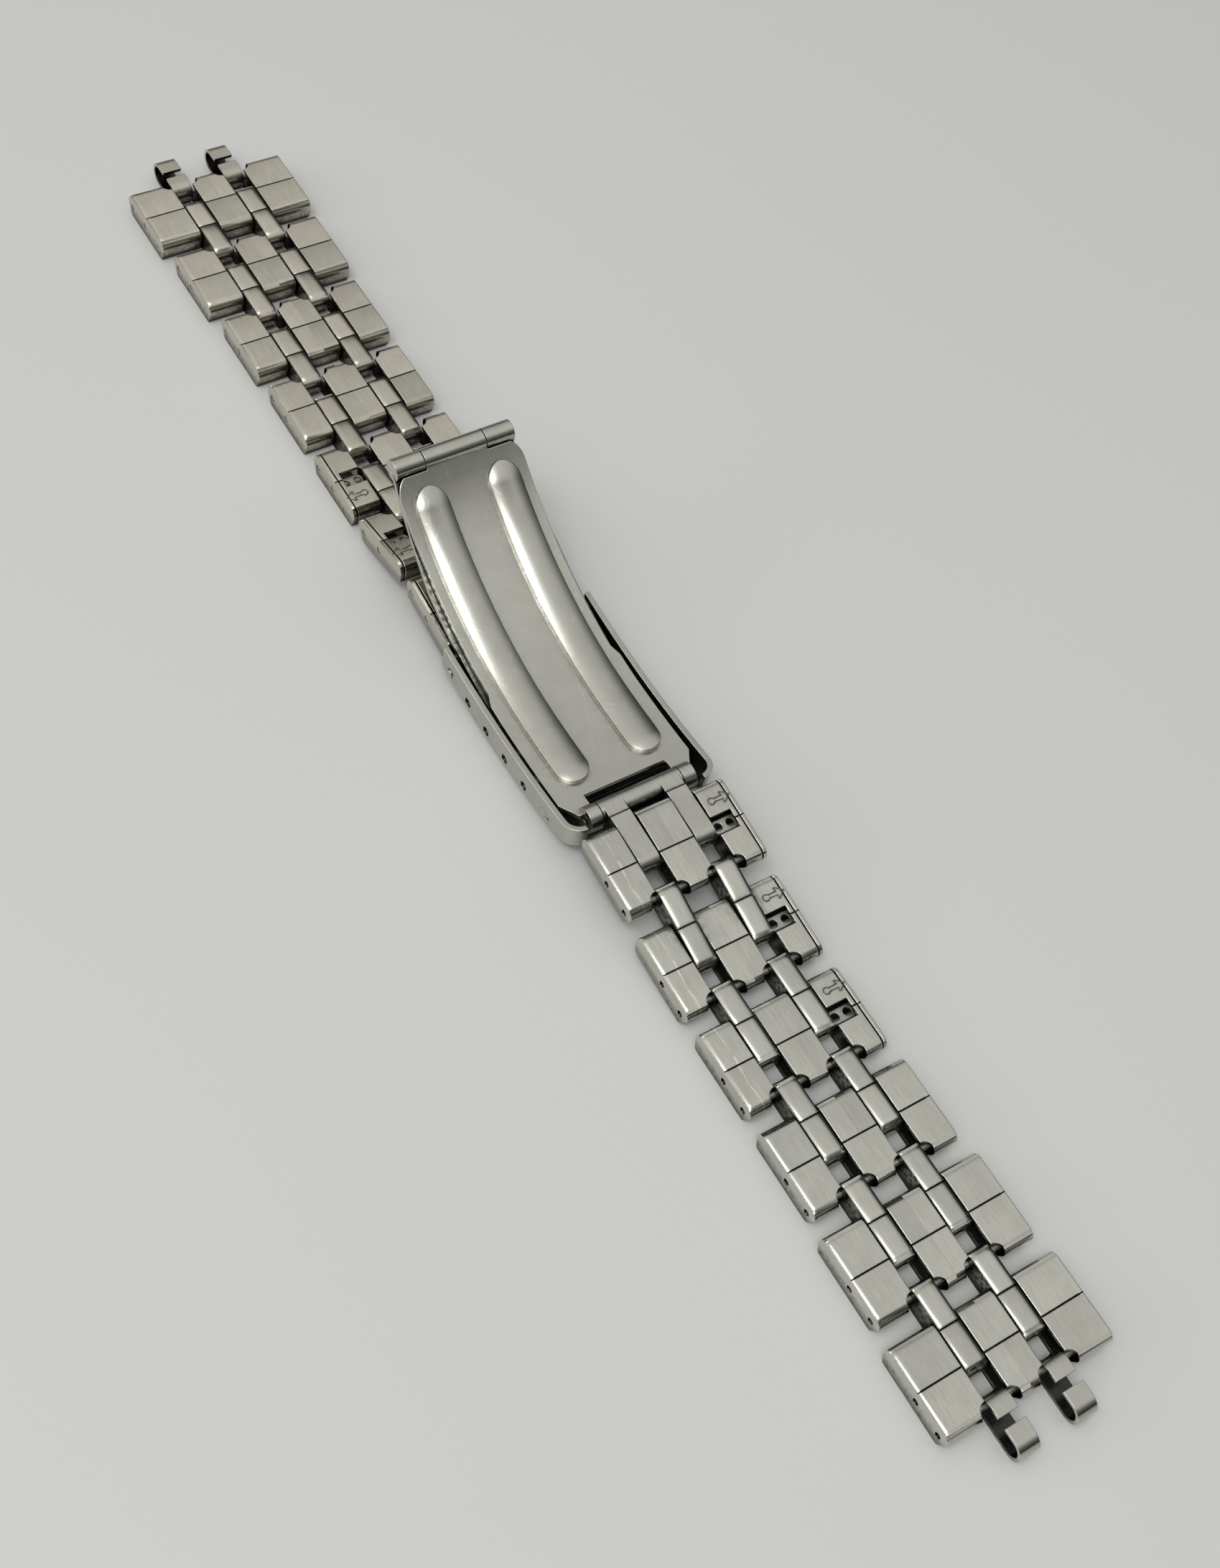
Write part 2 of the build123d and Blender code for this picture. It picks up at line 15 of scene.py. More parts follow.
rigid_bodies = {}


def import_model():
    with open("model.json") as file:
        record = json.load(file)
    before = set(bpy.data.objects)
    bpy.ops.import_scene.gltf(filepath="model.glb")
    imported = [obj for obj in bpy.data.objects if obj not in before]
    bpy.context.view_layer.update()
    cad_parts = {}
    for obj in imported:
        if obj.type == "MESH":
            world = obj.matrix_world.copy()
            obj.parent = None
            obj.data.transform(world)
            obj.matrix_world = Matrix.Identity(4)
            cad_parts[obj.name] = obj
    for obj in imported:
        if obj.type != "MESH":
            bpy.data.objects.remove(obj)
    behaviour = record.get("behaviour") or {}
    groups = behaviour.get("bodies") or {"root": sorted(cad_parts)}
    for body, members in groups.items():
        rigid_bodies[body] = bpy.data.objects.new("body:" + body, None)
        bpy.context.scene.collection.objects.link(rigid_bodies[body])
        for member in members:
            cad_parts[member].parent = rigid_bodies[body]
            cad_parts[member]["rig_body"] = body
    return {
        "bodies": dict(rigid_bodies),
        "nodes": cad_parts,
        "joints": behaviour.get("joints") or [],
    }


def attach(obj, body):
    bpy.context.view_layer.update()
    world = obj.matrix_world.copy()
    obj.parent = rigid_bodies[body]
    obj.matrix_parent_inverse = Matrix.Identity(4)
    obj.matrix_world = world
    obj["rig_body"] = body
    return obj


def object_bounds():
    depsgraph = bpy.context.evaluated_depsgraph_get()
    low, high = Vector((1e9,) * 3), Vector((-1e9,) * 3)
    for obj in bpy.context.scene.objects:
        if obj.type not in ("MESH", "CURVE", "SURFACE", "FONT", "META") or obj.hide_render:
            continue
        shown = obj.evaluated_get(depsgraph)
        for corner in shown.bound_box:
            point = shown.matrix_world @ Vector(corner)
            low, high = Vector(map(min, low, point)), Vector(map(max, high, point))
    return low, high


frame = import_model()
cad_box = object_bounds()
scene = bpy.context.scene
nodes = frame["nodes"]
MM = 0.001

# %% [markdown]
# ## Where each link lies
#
# Every link's pattern starts at its own cross seam, and its brushing runs along its own length. The
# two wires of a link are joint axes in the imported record. A line from one to the other gives the
# link's middle and direction, also where the bracelet climbs to the clasp.

# %% A link's own frame from its two wires
seam_offset = 0.3 * MM
joint_to = {joint["child"]: Vector(joint["pos_m"]) for joint in frame["joints"]}
joint_from = {}
for joint in frame["joints"]:
    joint_from.setdefault(joint["parent"], Vector(joint["pos_m"]))


def link_frame(body):
    """(place of its cross seam, direction to the clasp, wrist-side direction) of a link."""
    way = Vector((1, 0, 0)) if body.startswith("upper") else Vector((-1, 0, 0))
    near = joint_to[body]
    far = joint_from.get(body, near - way * 3 * MM)
    along = (near - far).normalized()
    up = Vector((-along.z, 0, along.x)) * (1 if along.x > 0 else -1)
    seam = near + along * seam_offset if "_row_" in body else (near + far) / 2
    return seam, along, up


link_bodies = [body for body in frame["bodies"] if body.startswith(("upper_", "lower_"))]
frames = {body: link_frame(body) for body in link_bodies}
print("link frames", len(frames))

# %% [markdown]
# ## Short ways to write node trees
#
# Trees for shapes and shaders are built by script. A few small helpers keep that readable. They add
# a node, do arithmetic, split a place into its parts, make a smooth step, mix two colours, make a
# group with named sockets, and set a modifier's inputs.

# %% Helpers for node trees


def put(tree, kind, settings=None, inputs=None):
    """A new node with its settings and inputs, which are numbers or other sockets."""
    made = tree.nodes.new(kind)
    for name, value in (settings or {}).items():
        setattr(made, name, value)
    for name, value in (inputs or {}).items():
        socket = made.inputs[name]
        if isinstance(value, bpy.types.NodeSocket):
            tree.links.new(value, socket)
        else:
            socket.default_value = value
    return made


def calc(tree, operation, first, second=0.0, third=0.0):
    """The result of one step of arithmetic."""
    made = put(tree, "ShaderNodeMath", {"operation": operation}, {0: first, 1: second, 2: third})
    return made.outputs[0]


def split(tree, place, axes):
    """The parts of a place that are asked for, such as "XY"."""
    parts = put(tree, "ShaderNodeSeparateXYZ", None, {0: place})
    return [parts.outputs[axis] for axis in axes]


def ramp(tree, value, low, high, start=0.0, end=1.0):
    """A smooth step: start below low, end above high."""
    made = put(tree, "ShaderNodeMapRange", {"interpolation_type": "SMOOTHSTEP"},
               {"Value": value, "From Min": low, "From Max": high, "To Min": start, "To Max": end})
    return made.outputs["Result"]


def blend_colour(tree, share, first, second, mode="MIX"):
    """Two colours mixed by a share. A Mix node takes its colours at the sockets 6 and 7."""
    made = put(tree, "ShaderNodeMix", {"data_type": "RGBA", "blend_type": mode},
               {0: share, 6: first, 7: second})
    return made.outputs[2]


def new_group(name, kind, inputs, outputs):
    """An empty group with named sockets: (tree, its input node, its output node)."""
    tree = bpy.data.node_groups.new(name, kind)
    for label, socket_type, value in inputs:
        socket = tree.interface.new_socket(label, in_out="INPUT", socket_type=socket_type)
        if value is not None:
            socket.default_value = value
    for label, socket_type in outputs:
        tree.interface.new_socket(label, in_out="OUTPUT", socket_type=socket_type)
    return tree, tree.nodes.new("NodeGroupInput"), tree.nodes.new("NodeGroupOutput")


def set_inputs(modifier, values):
    """Sets a modifier's named inputs by their sockets' identifiers."""
    for item in modifier.node_group.interface.items_tree:
        if item.in_out == "INPUT" and item.name in values:
            modifier[item.identifier] = values[item.name]


# %% [markdown]
# ## The link's own coordinates
#
# Brushing, tint and wear follow each link, wherever it lies. A Geometry Nodes tree writes each
# point's place in its own link as an attribute, in millimetres: along the link from its seam,
# across the bracelet, and above the link's middle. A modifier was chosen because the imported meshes
# stay as they are, and one tree serves every node with other inputs. On the lower half, the centre
# link next to the clasp reaches a little further between the tongues, so the tree can move that end
# out.

# %% The tree that stores a link's own coordinates
reach_from, reach_to = 2.6, 3.4
place_tree, enter, leave = new_group(
    "link_place", "GeometryNodeTree",
    [("Geometry", "NodeSocketGeometry", None), ("Seam", "NodeSocketVector", (0, 0, 0)),
     ("Along", "NodeSocketVector", (1, 0, 0)), ("Up", "NodeSocketVector", (0, 0, 1)),
     ("Seed", "NodeSocketFloat", 0.0), ("Wear", "NodeSocketFloat", 0.0),
     ("Half width", "NodeSocketFloat", 0.0), ("Reach out", "NodeSocketFloat", 0.0)],
    [("Geometry", "NodeSocketGeometry")])
position = put(place_tree, "GeometryNodeInputPosition").outputs[0]
away = put(place_tree, "ShaderNodeVectorMath", {"operation": "SUBTRACT"},
           {0: position, 1: enter.outputs["Seam"]}).outputs[0]
lengths = []
for axis in ("Along", "Up"):
    dot = put(place_tree, "ShaderNodeVectorMath", {"operation": "DOT_PRODUCT"},
              {0: away, 1: enter.outputs[axis]})
    lengths.append(calc(place_tree, "DIVIDE", dot.outputs["Value"], MM))
across = calc(place_tree, "DIVIDE", *split(place_tree, position, "Y"), MM)
place = put(place_tree, "ShaderNodeCombineXYZ", None, {0: lengths[0], 1: across, 2: lengths[1]})
inset = calc(place_tree, "SUBTRACT", enter.outputs["Half width"],
             calc(place_tree, "ABSOLUTE", across))
reach = calc(place_tree, "MULTIPLY", ramp(place_tree, lengths[0], reach_from, reach_to),
             enter.outputs["Reach out"])
moved = put(place_tree, "ShaderNodeVectorMath", {"operation": "SCALE"},
            {0: enter.outputs["Along"], "Scale": reach})
shape = put(place_tree, "GeometryNodeSetPosition", None,
            {"Geometry": enter.outputs["Geometry"], "Offset": moved.outputs[0]}).outputs[0]
for label, kind, value in (("link_place", "FLOAT_VECTOR", place.outputs[0]),
                           ("link_seed", "FLOAT", enter.outputs["Seed"]),
                           ("link_inset", "FLOAT", inset),
                           ("link_wear", "FLOAT", enter.outputs["Wear"])):
    written = put(place_tree, "GeometryNodeStoreNamedAttribute",
                  {"data_type": kind, "domain": "POINT"}, {"Geometry": shape, "Name": label})
    place_tree.links.new(value, written.inputs["Value"])
    shape = written.outputs[0]
place_tree.links.new(shape, leave.inputs[0])
print("place tree nodes", len(place_tree.nodes))

# %% Every node gets its coordinates
worn_nodes = [f"lower_outers_{number}" for number in (4, 5, 6)]
far_inside = 50.0
longer_node, longer_by = "lower_centre_6", 0.4 * MM


def give_place(name, obj, seed):
    """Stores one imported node's own coordinates, seed and wear."""
    resting = (Vector(), Vector((1, 0, 0)), Vector((0, 0, 1)))
    seam, along, up = frames.get(obj["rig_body"], resting)
    modifier = obj.modifiers.new("place", "NODES")
    modifier.node_group = place_tree
    half_width = max(abs(corner[1]) for corner in obj.bound_box) / MM
    has_rim = "outers" in name or "clip" in name
    set_inputs(modifier, {"Seam": tuple(seam), "Along": tuple(along), "Up": tuple(up),
                          "Seed": seed, "Wear": 1.0 if name in worn_nodes else 0.0,
                          "Half width": half_width if has_rim else far_inside,
                          "Reach out": longer_by if name == longer_node else 0.0})


for number, (name, obj) in enumerate(sorted(nodes.items())):
    give_place(name, obj, float(number))
print("placed", len(nodes))

# %% [markdown]
# ## Effects that several metals share
#
# What several steels have, in different amounts, is one shader group each. Brushing is noise that
# is stretched along the link. A scratch is the thin contour of a turned and stretched noise. A
# rubbed line is where worn links have slid on their edge. Grime and painted shade darken a surface
# where it is boxed in, and between the columns of links. Edges are rounded in the shading, so that
# the imported meshes stay as they are, and their colour is lightened as edge wear and painted
# highlight. Every flap bulges a little, and leans and shades in its own way.

# %% The brushing group
line_shift, cloud_shift = 7.3, 3.1
brushing, enter, leave = new_group(
    "brushing", "ShaderNodeTree",
    [("Place", "NodeSocketVector", (0, 0, 0)), ("Lines per mm", "NodeSocketFloat", 9.0),
     ("Stretch", "NodeSocketFloat", 0.05), ("Seed", "NodeSocketFloat", 0.0)],
    [("Lines", "NodeSocketFloat"), ("Clouds", "NodeSocketFloat")])
x, y, z = split(brushing, enter.outputs["Place"], "XYZ")
long_way = calc(brushing, "MULTIPLY", x, enter.outputs["Stretch"])
shifted = calc(brushing, "MULTIPLY_ADD", enter.outputs["Seed"], line_shift, long_way)
line_place = put(brushing, "ShaderNodeCombineXYZ", None, {0: shifted, 1: y, 2: z})
line_noise = put(brushing, "ShaderNodeTexNoise", None,
                 {"Vector": line_place.outputs[0], "Scale": enter.outputs["Lines per mm"],
                  "Detail": 3.0, "Roughness": 0.65})
shifted = calc(brushing, "MULTIPLY_ADD", enter.outputs["Seed"], cloud_shift, x)
cloud_place = put(brushing, "ShaderNodeCombineXYZ", None, {0: shifted, 1: y, 2: z})
cloud_noise = put(brushing, "ShaderNodeTexNoise", None,
                  {"Vector": cloud_place.outputs[0], "Scale": 0.42, "Detail": 2.0})
brushing.links.new(line_noise.outputs["Fac"], leave.inputs["Lines"])
brushing.links.new(cloud_noise.outputs["Fac"], leave.inputs["Clouds"])

# %% The scratch group
contour_level, squeeze = 0.6, 0.06
scratching, enter, leave = new_group(
    "fine_scratches", "ShaderNodeTree",
    [("Place", "NodeSocketVector", (0, 0, 0)), ("Turn", "NodeSocketFloat", 0.4),
     ("Width", "NodeSocketFloat", 0.004), ("Seed", "NodeSocketFloat", 0.0)],
    [("Scratches", "NodeSocketFloat")])
total = None
for turn_share, offset in ((1.0, 0.0), (-1.7, 13.0)):
    turned = put(scratching, "ShaderNodeVectorRotate", {"rotation_type": "Z_AXIS"},
                 {"Vector": enter.outputs["Place"],
                  "Angle": calc(scratching, "MULTIPLY", enter.outputs["Turn"], turn_share)})
    x, y = split(scratching, turned.outputs[0], "XY")
    drawn = put(scratching, "ShaderNodeCombineXYZ", None,
                {0: calc(scratching, "MULTIPLY", x, squeeze),
                 1: calc(scratching, "ADD", y, offset), 2: enter.outputs["Seed"]})
    noise = put(scratching, "ShaderNodeTexNoise", None,
                {"Vector": drawn.outputs[0], "Scale": 0.8, "Detail": 0.0})
    off_line = calc(scratching, "ABSOLUTE", calc(
        scratching, "SUBTRACT", noise.outputs["Fac"], contour_level))
    line = ramp(scratching, off_line, 0.0, enter.outputs["Width"], 1.0, 0.0)
    total = line if total is None else calc(scratching, "MAXIMUM", total, line)
scratching.links.new(total, leave.inputs["Scratches"])

# %% The rubbing group
wander_by, line_from = 0.8, -6.15
line_core, line_end = 0.03, 0.13
rubbing, enter, leave = new_group(
    "rubbed_line", "ShaderNodeTree",
    [("Place", "NodeSocketVector", (0, 0, 0)), ("Wear", "NodeSocketFloat", 0.0)],
    [("Rubbed", "NodeSocketFloat")])
[y] = split(rubbing, enter.outputs["Place"], "Y")
wander = put(rubbing, "ShaderNodeTexNoise", None,
             {"Vector": enter.outputs["Place"], "Scale": 0.35, "Detail": 1.0})
line_y = calc(rubbing, "MULTIPLY_ADD", wander.outputs["Fac"], wander_by, line_from)
off_line = calc(rubbing, "ABSOLUTE", calc(rubbing, "SUBTRACT", y, line_y))
broken = put(rubbing, "ShaderNodeTexNoise", None,
             {"Vector": enter.outputs["Place"], "Scale": 0.8, "Detail": 2.0})
line = calc(rubbing, "MULTIPLY", ramp(rubbing, off_line, line_core, line_end, 1.0, 0.0),
            ramp(rubbing, broken.outputs["Fac"], 0.34, 0.5))
rubbing.links.new(calc(rubbing, "MULTIPLY", line, enter.outputs["Wear"]), leave.inputs["Rubbed"])

# %% The group of grime and painted shade in boxed-in places
unshaded_below, darkest_above = 0.08, 0.36
grime_and_shade_group, enter, leave = new_group(
    "grime_and_shade", "ShaderNodeTree",
    [("Place", "NodeSocketVector", (0, 0, 0)), ("Reach mm", "NodeSocketFloat", 1.8),
     ("Amount", "NodeSocketFloat", 1.0)],
    [("Grime and shade", "NodeSocketFloat")])
# Painted shade: ambient occlusion darkens boxed-in places, mixed in patches with real grime.
closed = put(grime_and_shade_group, "ShaderNodeAmbientOcclusion", {"samples": 4},
             {"Distance": calc(grime_and_shade_group, "MULTIPLY", enter.outputs["Reach mm"], MM)})
patches = put(grime_and_shade_group, "ShaderNodeTexNoise", None,
              {"Vector": enter.outputs["Place"], "Scale": 2.2, "Detail": 3.0})
boxed_in = calc(grime_and_shade_group, "SUBTRACT", 1.0, closed.outputs["AO"])
uneven = ramp(grime_and_shade_group, patches.outputs["Fac"], 0.3, 0.7, 0.55, 1.0)
grime_and_shade_share = ramp(grime_and_shade_group, calc(grime_and_shade_group, "MULTIPLY", boxed_in, uneven), unshaded_below, darkest_above)
grime_and_shade_group.links.new(calc(grime_and_shade_group, "MULTIPLY", grime_and_shade_share, enter.outputs["Amount"]), leave.inputs["Grime and shade"])

# %% The rounded edge group
corner_below, face_above = 0.8, 0.99
rounding, enter, leave = new_group(
    "rounded_edge", "ShaderNodeTree", [("Radius mm", "NodeSocketFloat", 0.1)],
    [("Normal", "NodeSocketVector"), ("Corner", "NodeSocketFloat")])
rounded = put(rounding, "ShaderNodeBevel", {"samples": 4},
              {"Radius": calc(rounding, "MULTIPLY", enter.outputs["Radius mm"], MM)}).outputs[0]
turned = put(rounding, "ShaderNodeVectorMath", {"operation": "DOT_PRODUCT"},
             {0: rounded, 1: put(rounding, "ShaderNodeNewGeometry").outputs["Normal"]})
rounding.links.new(rounded, leave.inputs["Normal"])
corner = ramp(rounding, turned.outputs["Value"], corner_below, face_above, 1.0, 0.0)
rounding.links.new(corner, leave.inputs["Corner"])

# %% The group that tells which way a face looks
looking, enter, leave = new_group(
    "which_way", "ShaderNodeTree", [],
    [("Flat", "NodeSocketFloat"), ("Sideways", "NodeSocketFloat"), ("Upward", "NodeSocketFloat")])
y, z = split(looking, put(looking, "ShaderNodeTexCoord").outputs["Normal"], "YZ")
for part, low, high, label in ((z, 0.72, 0.96, "Flat"), (y, 0.6, 0.9, "Sideways")):
    size = calc(looking, "ABSOLUTE", part)
    looking.links.new(ramp(looking, size, low, high), leave.inputs[label])
looking.links.new(z, leave.inputs["Upward"])

# %% The steel colour group
warm_steel = (0.53, 0.522, 0.47, 1.0)
cool_steel = (0.5, 0.502, 0.455, 1.0)
aged_tint = (1.03, 0.985, 0.93, 1.0)
# The near-black colour that grime and painted shade darken towards.
grime_and_shade_colour = (0.012, 0.011, 0.01, 1.0)
aged_from, aged_to = -30 * MM, 10 * MM
colouring, enter, leave = new_group(
    "steel_colour", "ShaderNodeTree",
    [("Cool share", "NodeSocketFloat", 0.5), ("Aged", "NodeSocketFloat", 0.0)],
    [("Color", "NodeSocketColor")])
mixed = blend_colour(colouring, enter.outputs["Cool share"], warm_steel, cool_steel)
[x] = split(colouring, put(colouring, "ShaderNodeTexCoord").outputs["Object"], "X")
aged = calc(colouring, "MULTIPLY", ramp(colouring, x, aged_from, aged_to, 1.0, 0.0),
            enter.outputs["Aged"])
older = blend_colour(colouring, 1.0, mixed, aged_tint, "MULTIPLY")
colouring.links.new(blend_colour(colouring, aged, mixed, older), leave.inputs["Color"])

# %% The flap group: every flap bulges a little, and leans and shades in its own way
centre_ends, narrow_ends = 1.87, 4.07
flap_middle = 2.1
lean_most, bulge_share, tone_most = 0.11, -0.02, 0.16
seam_half, chance_share = 0.1, 0.5
flapping, enter, leave = new_group(
    "flap", "ShaderNodeTree",
    [("Place", "NodeSocketVector", (0, 0, 0)), ("Seed", "NodeSocketFloat", 0.0)],
    [("Tint", "NodeSocketFloat"), ("Tone", "NodeSocketFloat"), ("Height", "NodeSocketFloat")])
x, y = split(flapping, enter.outputs["Place"], "XY")
off_middle = calc(flapping, "ABSOLUTE", y)
column = calc(flapping, "ADD", calc(flapping, "GREATER_THAN", off_middle, centre_ends),
              calc(flapping, "GREATER_THAN", off_middle, narrow_ends))
column = calc(flapping, "MULTIPLY", column, calc(flapping, "SIGN", y))
key = put(flapping, "ShaderNodeCombineXYZ", None,
          {0: enter.outputs["Seed"], 1: calc(flapping, "SIGN", x), 2: column})
chance = put(flapping, "ShaderNodeTexWhiteNoise", {"noise_dimensions": "3D"},
             {"Vector": key.outputs[0]})
chances = put(flapping, "ShaderNodeSeparateColor", None, {0: chance.outputs["Color"]})
leans = [calc(flapping, "MULTIPLY", calc(flapping, "MULTIPLY", calc(
    flapping, "SUBTRACT", chances.outputs[index], 0.5), lean_most), way)
    for index, way in ((0, x), (1, y))]
off_crown = calc(flapping, "SUBTRACT", calc(flapping, "ABSOLUTE", x), flap_middle)
bulge = calc(flapping, "MULTIPLY", calc(flapping, "MULTIPLY", off_crown, off_crown), bulge_share)
flapping.links.new(calc(flapping, "ADD", calc(flapping, "ADD", leans[0], leans[1]), bulge),
                   leave.inputs["Height"])
halves = calc(flapping, "MULTIPLY", ramp(flapping, x, -seam_half, seam_half), 1 - chance_share)
flapping.links.new(calc(flapping, "MULTIPLY_ADD", chances.outputs[0], chance_share, halves),
                   leave.inputs["Tint"])
flapping.links.new(calc(flapping, "MULTIPLY", chances.outputs[2], tone_most),
                   leave.inputs["Tone"])

# %% The group of dirt and painted shade between two columns of links, and low on their ends
low_from, low_to, rim_inset = -0.9, -0.1, 0.05
dirt_and_shade_group, enter, leave = new_group(
    "column_dirt_and_shade", "ShaderNodeTree",
    [("Place", "NodeSocketVector", (0, 0, 0)), ("Sideways", "NodeSocketFloat", 0.0),
     ("Upward", "NodeSocketFloat", 0.0)],
    [("Dirt and shade", "NodeSocketFloat")])
[z] = split(dirt_and_shade_group, enter.outputs["Place"], "Z")
inset = put(dirt_and_shade_group, "ShaderNodeAttribute", {"attribute_name": "link_inset"}).outputs["Fac"]
specks = put(dirt_and_shade_group, "ShaderNodeTexNoise", None,
             {"Vector": enter.outputs["Place"], "Scale": 2.6, "Detail": 3.0})
# Dirt and painted shade on the side faces between the columns, in specks.
side_dirt_and_shade = calc(dirt_and_shade_group, "MULTIPLY", enter.outputs["Sideways"],
             ramp(dirt_and_shade_group, specks.outputs["Fac"], 0.4, 0.6, 0.5, 0.95))
# Painted shade and dirt low on the ends, where faces look down.
low = calc(dirt_and_shade_group, "MULTIPLY", ramp(dirt_and_shade_group, z, low_from, low_to, 0.85, 0.0),
           ramp(dirt_and_shade_group, enter.outputs["Upward"], -0.6, -0.2))
dirt_and_shade_group.links.new(calc(dirt_and_shade_group, "MULTIPLY", calc(dirt_and_shade_group, "MAXIMUM", side_dirt_and_shade, low),
                       calc(dirt_and_shade_group, "GREATER_THAN", inset, rim_inset)), leave.inputs["Dirt and shade"])
print("shader groups", [tree.name for tree in (
    brushing, scratching, rubbing, grime_and_shade_group, rounding, looking, colouring, flapping, dirt_and_shade_group)])

# %% [markdown]
# ## The metals
#
# All pieces are one kind of stainless steel, but each is finished in its own way. The flaps are
# satin and brushed lengthwise. Half of a flap's tint is chance, and the other half makes it cooler
# on the clasp side of its seam. Folds, sides and the slopes of the ribs are smoother, and the wires
# are plain drawn wire. One function builds a steel from these few choices, so that the finishes
# stay related.

# %% A shader group in use, and an attribute


def use_group(tree, group, inputs):
    """A shader group placed in a material, with its values."""
    return put(tree, "ShaderNodeGroup", {"node_tree": group}, inputs)


def stored(tree, name, output="Fac"):
    """A value that the place tree has stored."""
    return put(tree, "ShaderNodeAttribute", {"attribute_name": name}).outputs[output]


# %% Swellings that one steel alone has, in millimetres (some work on flat faces only)
rib_half_length, rib_offset, rib_swell = 13.25, 3.85, 0.4
rib_middle = joint_to["middle_blade"].x / MM - 15.5
rib_fade = -0.3676
fall_share, fall_most = -2.2, -0.16
narrow_middle, narrow_half = 2.975, 1.025


def rib_dome(tree, place, flat):
    """How far the two ribs' crowns swell over the plate, on their slopes as well."""
    x, y = split(tree, place, "XY")
    off_middle = calc(tree, "ABSOLUTE", calc(tree, "SUBTRACT", x, rib_middle))
    lengthwise = calc(tree, "MAXIMUM", calc(tree, "SUBTRACT", off_middle, rib_half_length), 0.0)
    sideways = calc(tree, "SUBTRACT", calc(tree, "ABSOLUTE", y), rib_offset)
    square = calc(tree, "MULTIPLY_ADD", lengthwise, lengthwise,
                  calc(tree, "MULTIPLY", sideways, sideways))
    left = calc(tree, "MAXIMUM", calc(tree, "MULTIPLY_ADD", square, rib_fade, 1.0), 0.0)
    return calc(tree, "MULTIPLY", left, rib_swell)


def rim_fall(tree, place, flat):
    """How far an outer link's flap falls away towards the worn side."""
    [y] = split(tree, place, "Y")
    share = calc(tree, "MAXIMUM", calc(
        tree, "MULTIPLY_ADD", stored(tree, "link_inset"), fall_share, 1.0), 0.0)
    fall = calc(tree, "MULTIPLY", calc(tree, "MULTIPLY", share, share), fall_most)
    one_side = calc(tree, "MULTIPLY", fall, calc(tree, "LESS_THAN", y, 0.0))
    return calc(tree, "MULTIPLY", one_side, flat)


def cushion(tree, place, flat):
    """How far a narrow link's crown falls towards its edges."""
    x, y = split(tree, place, "XY")
    falls = []
    for way, middle, half, drop in ((y, narrow_middle, narrow_half, -0.2),
                                    (x, flap_middle, flap_middle, -0.1)):
        off_middle = calc(tree, "SUBTRACT", calc(tree, "ABSOLUTE", way), middle)
        share = calc(tree, "ABSOLUTE", calc(tree, "DIVIDE", off_middle, half))
        falls.append(calc(tree, "MULTIPLY", calc(tree, "POWER", share, 4.0), drop))
    return calc(tree, "MULTIPLY", calc(tree, "ADD", falls[0], falls[1]), flat)


# %% Dark places that one steel alone has
curl_middle, curl_half_straight = -0.55, 1.5
tongue_fold = 1.95


def rim_line(tree, place, flat):
    """Dark along a link's cross seam, and painted shade low on an outer link's side wall."""
    x, z = split(tree, place, "XZ")
    seam = calc(tree, "MULTIPLY", flat,
                ramp(tree, calc(tree, "ABSOLUTE", x), 0.05, 0.08, 1.0, 0.0))
    # Painted shade: an outer link's side wall darkens towards its foot by the table.
    low = calc(tree, "MULTIPLY", calc(tree, "LESS_THAN", stored(tree, "link_inset"), 0.03),
               ramp(tree, z, -0.6, 0.1, 0.45, 0.0))
    return calc(tree, "MAXIMUM", seam, low)


def inside_hook(tree, place, flat):
    """Dark with grime and painted shade on the inner faces of a hook's curl, whichever way they
    look.
    """
    x, z = split(tree, place, "XZ")
    beyond = calc(tree, "MAXIMUM", calc(tree, "SUBTRACT", calc(
        tree, "ABSOLUTE", calc(tree, "SUBTRACT", x, curl_middle)), curl_half_straight), 0.0)
    square = calc(tree, "MULTIPLY_ADD", beyond, beyond, calc(tree, "MULTIPLY", z, z))
    # Grime and painted shade inside the curl.
    return ramp(tree, calc(tree, "SQRT", square), 0.93, 1.02, 0.92, 0.0)


def tongue_line(tree, place, flat):
    """Dark where a tongue's fold touches the tube."""
    x, y = split(tree, place, "XY")
    off_line = calc(tree, "ABSOLUTE", calc(tree, "SUBTRACT", x, tongue_fold))
    across = calc(tree, "ABSOLUTE", y)
    on_tongue = calc(tree, "MULTIPLY", calc(tree, "GREATER_THAN", across, centre_ends),
                     calc(tree, "LESS_THAN", across, narrow_ends))
    return calc(tree, "MULTIPLY", ramp(tree, off_line, 0.05, 0.1, 0.9, 0.0),
                calc(tree, "MULTIPLY", on_tongue, flat))


def off_tips(tree):
    """Where a wire may darken with grime and painted shade: away from its rubbed tips."""
    return ramp(tree, stored(tree, "link_inset"), 0.3, 0.8)


# %% A steel with its own choices
brush_depth, brush_share = 0.006 * MM, 0.35
line_tone, cloud_tone, scratch_tone, rubbed_tone = 0.35, 0.25, 0.25, 0.45
line_rough, grime_rough = 0.18, 0.4
steep_share = 0.25


def bump(tree, height, distance, normal, strength=1.0):
    """A normal tilted by a height."""
    made = put(tree, "ShaderNodeBump", None, {"Strength": strength, "Distance": distance,
                                              "Height": height, "Normal": normal})
    return made.outputs[0]


